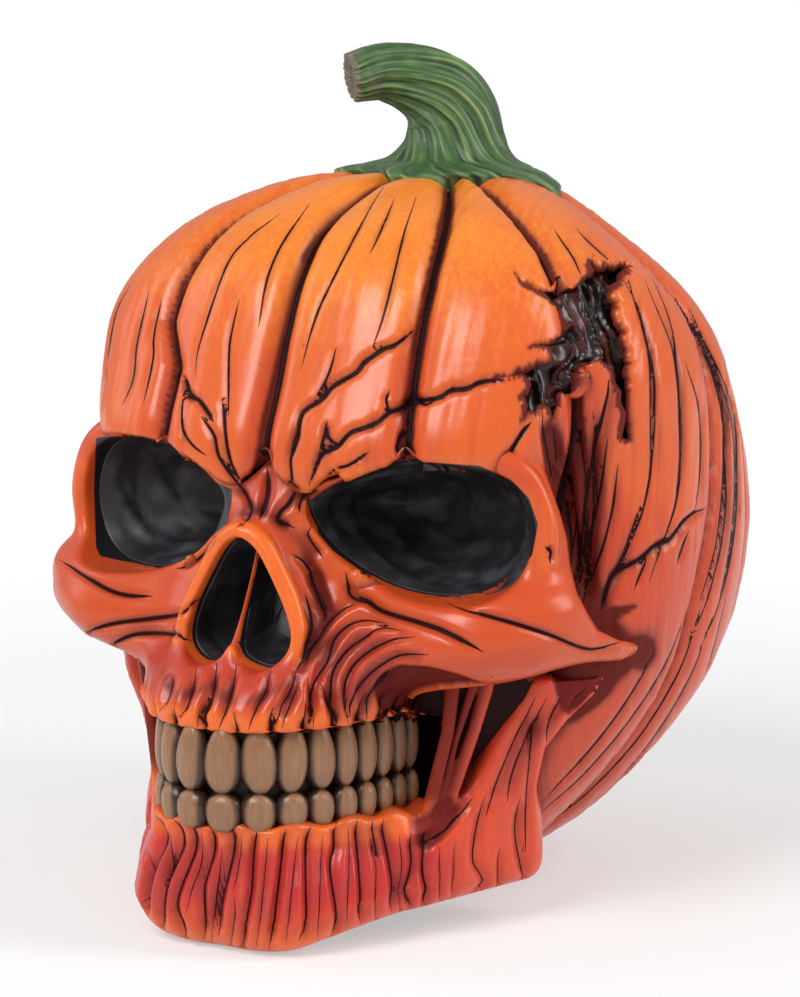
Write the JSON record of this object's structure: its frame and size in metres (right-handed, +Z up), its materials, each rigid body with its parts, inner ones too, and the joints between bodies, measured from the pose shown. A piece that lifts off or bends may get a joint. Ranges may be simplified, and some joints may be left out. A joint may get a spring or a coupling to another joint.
{
  "type": "halloween skull decoration",
  "caption": "Ornamental skull with a ribbed pumpkin cranium, curled stem, hollow eyes and nose, and rows of seed-shaped teeth.",
  "frame": {"origin": "on the table, on the flat foot under the middle of the head", "axes": "+Z up; the face looks along -Y; +X is the skull's own left"},
  "size_m": [0.1395, 0.1693, 0.183],
  "materials": {
    "pumpkin_orange": "semi-gloss painted resin, dark wash in the grooves",
    "bone_orange": "semi-gloss painted resin, red blush",
    "jaw_red": "semi-gloss painted resin, crimson over orange",
    "stem_green": "satin painted resin with pale ridges",
    "tooth_tan": "satin painted resin, dark edges",
    "socket_black": "matte black, brush-swirled",
    "mouth_brown": "matte dark brown wash",
    "rot_brown": "wet-looking gloss, dark red-brown"
  },
  "bodies": {
    "root": {"pumpkin_shell": "pumpkin_orange", "upper_face": "bone_orange", "lower_jaw": "jaw_red", "stem": "stem_green", "mouth_core": "mouth_brown", "wound_core": "rot_brown", "nose_septum": "bone_orange", "left_eye_bowl": "socket_black", "right_eye_bowl": "socket_black", "left_nostril_pocket": "socket_black", "right_nostril_pocket": "socket_black", "upper_tooth_left_1": "tooth_tan", "upper_tooth_left_2": "tooth_tan", "upper_tooth_left_3": "tooth_tan", "upper_tooth_left_4": "tooth_tan", "upper_tooth_left_5": "tooth_tan", "upper_tooth_left_6": "tooth_tan", "upper_tooth_left_7": "tooth_tan", "upper_tooth_left_8": "tooth_tan", "upper_tooth_left_9": "tooth_tan", "upper_tooth_right_1": "tooth_tan", "upper_tooth_right_2": "tooth_tan", "upper_tooth_right_3": "tooth_tan", "upper_tooth_right_4": "tooth_tan", "upper_tooth_right_5": "tooth_tan", "upper_tooth_right_6": "tooth_tan", "upper_tooth_right_7": "tooth_tan", "upper_tooth_right_8": "tooth_tan", "upper_tooth_right_9": "tooth_tan", "lower_tooth_left_1": "tooth_tan", "lower_tooth_left_2": "tooth_tan", "lower_tooth_left_3": "tooth_tan", "lower_tooth_left_4": "tooth_tan", "lower_tooth_left_5": "tooth_tan", "lower_tooth_left_6": "tooth_tan", "lower_tooth_left_7": "tooth_tan", "lower_tooth_left_8": "tooth_tan", "lower_tooth_left_9": "tooth_tan", "lower_tooth_right_1": "tooth_tan", "lower_tooth_right_2": "tooth_tan", "lower_tooth_right_3": "tooth_tan", "lower_tooth_right_4": "tooth_tan", "lower_tooth_right_5": "tooth_tan", "lower_tooth_right_6": "tooth_tan", "lower_tooth_right_7": "tooth_tan", "lower_tooth_right_8": "tooth_tan", "lower_tooth_right_9": "tooth_tan"}
  },
  "joints": []
}
